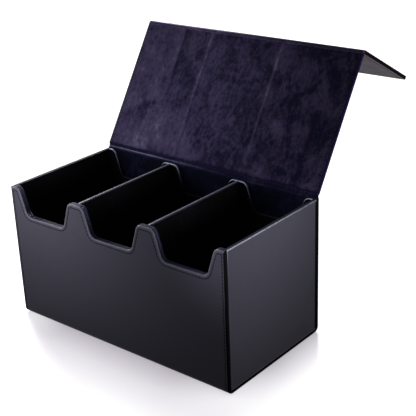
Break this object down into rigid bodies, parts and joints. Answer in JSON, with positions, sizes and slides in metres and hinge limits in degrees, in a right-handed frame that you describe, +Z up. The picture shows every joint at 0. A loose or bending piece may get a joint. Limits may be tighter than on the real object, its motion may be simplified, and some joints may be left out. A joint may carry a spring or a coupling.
{
  "type": "graded card storage box",
  "caption": "Covered board box that stores graded cards in open rows between dividers, with finger notches, a suede-lined hinged lid and a magnetic front flap.",
  "frame": {"origin": "middle of the base, on the surface that the box stands on", "axes": "+X to the right as seen from the front, +Y to the back where the lid hinges, +Z up"},
  "size_m": [0.29, 0.3247, 0.283],
  "materials": {
    "leatherette": "satin",
    "binding": "satin",
    "hinge": "matte",
    "lid_suede": "matte",
    "row_suede": "matte",
    "board": "matte",
    "magnet": "satin"
  },
  "bodies": {
    "box": {"front_cover": "leatherette", "front_board": "board", "front_magnets": "magnet", "base_cover": "leatherette", "base_board": "board", "back_cover": "leatherette", "back_board": "board", "back_lining": "lid_suede", "left_side_cover": "leatherette", "left_side_board": "board", "left_side_lining": "row_suede", "right_side_cover": "leatherette", "right_side_board": "board", "right_side_lining": "row_suede", "tray_front_board": "board", "tray_front_binding": "binding", "tray_back_board": "board", "tray_back_binding": "binding", "tray_floor_board": "board", "divider_1_board": "board", "divider_1_binding": "binding", "divider_1_left_lining": "row_suede", "divider_1_right_lining": "row_suede", "divider_2_board": "board", "divider_2_binding": "binding", "divider_2_left_lining": "row_suede", "divider_2_right_lining": "row_suede", "row_1_front_lining": "row_suede", "row_1_back_lining": "row_suede", "row_1_floor_lining": "row_suede", "row_2_front_lining": "row_suede", "row_2_back_lining": "row_suede", "row_2_floor_lining": "row_suede", "row_3_front_lining": "row_suede", "row_3_back_lining": "row_suede", "row_3_floor_lining": "row_suede", "lid_hinge_strip": "hinge"},
    "lid": {"lid_cover": "leatherette", "lid_board": "board", "lid_lining": "lid_suede", "flap_hinge_strip": "hinge"},
    "flap": {"flap_cover": "leatherette", "flap_board": "board", "flap_lining": "lid_suede", "flap_magnets": "magnet"}
  },
  "joints": [
    {"name": "lid_hinge", "type": "hinge", "parent": "box", "child": "lid", "pos_m": [0, 0.0743, 0.1536], "axis": [-1, 0, 0], "range_deg": [-122.8, 57.2], "deforming": ["lid_hinge_strip"]},
    {"name": "flap_hinge", "type": "hinge", "parent": "lid", "child": "flap", "pos_m": [0, 0.1574, 0.28254], "axis": [-1, 0, 0], "range_deg": [-175.4, 14.6], "deforming": ["flap_hinge_strip"]}
  ]
}
